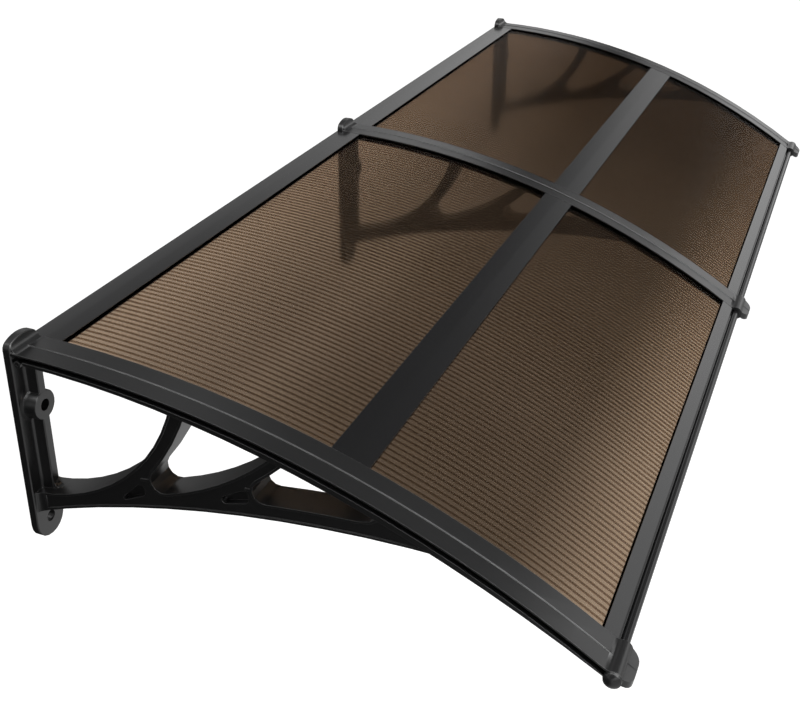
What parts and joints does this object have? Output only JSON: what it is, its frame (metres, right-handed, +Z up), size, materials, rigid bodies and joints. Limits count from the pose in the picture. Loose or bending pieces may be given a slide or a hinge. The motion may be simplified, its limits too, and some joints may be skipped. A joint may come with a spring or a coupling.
{
  "type": "door canopy",
  "caption": "Curved door canopy: moulded wall brackets carry arched twin-wall sheets held between slotted bars.",
  "frame": {"origin": "on the wall plane, in the middle of the back face of the middle bracket's wall plate", "axes": "+X along the canopy's width, +Y into the wall, +Z up"},
  "size_m": [2.014, 0.7972, 0.3032],
  "materials": {
    "bracket_plastic": "satin black moulded plastic",
    "bar_coating": "satin black coating on extruded aluminium",
    "tinted_sheet": "clear brown twin-wall polycarbonate",
    "plug_plastic": "satin black moulded plastic",
    "zinc_screw": "zinc plated"
  },
  "bodies": {
    "root": {"bracket_left": "bracket_plastic", "bracket_middle": "bracket_plastic", "bracket_right": "bracket_plastic", "rear_bar_left": "bar_coating", "rear_bar_right": "bar_coating", "middle_bar_left": "bar_coating", "middle_bar_right": "bar_coating", "front_bar_left": "bar_coating", "front_bar_right": "bar_coating", "rear_sheet_left": "tinted_sheet", "rear_sheet_right": "tinted_sheet", "front_sheet_left": "tinted_sheet", "front_sheet_right": "tinted_sheet", "front_plug_left": "plug_plastic", "front_plug_right": "plug_plastic", "rear_screw_left_a": "zinc_screw", "rear_screw_left_b": "zinc_screw", "rear_screw_right_a": "zinc_screw", "rear_screw_right_b": "zinc_screw", "middle_screw_left_a": "zinc_screw", "middle_screw_left_b": "zinc_screw", "middle_screw_right_a": "zinc_screw", "middle_screw_right_b": "zinc_screw", "front_screw_left_a": "zinc_screw", "front_screw_left_b": "zinc_screw", "front_screw_right_a": "zinc_screw", "front_screw_right_b": "zinc_screw"}
  },
  "joints": []
}
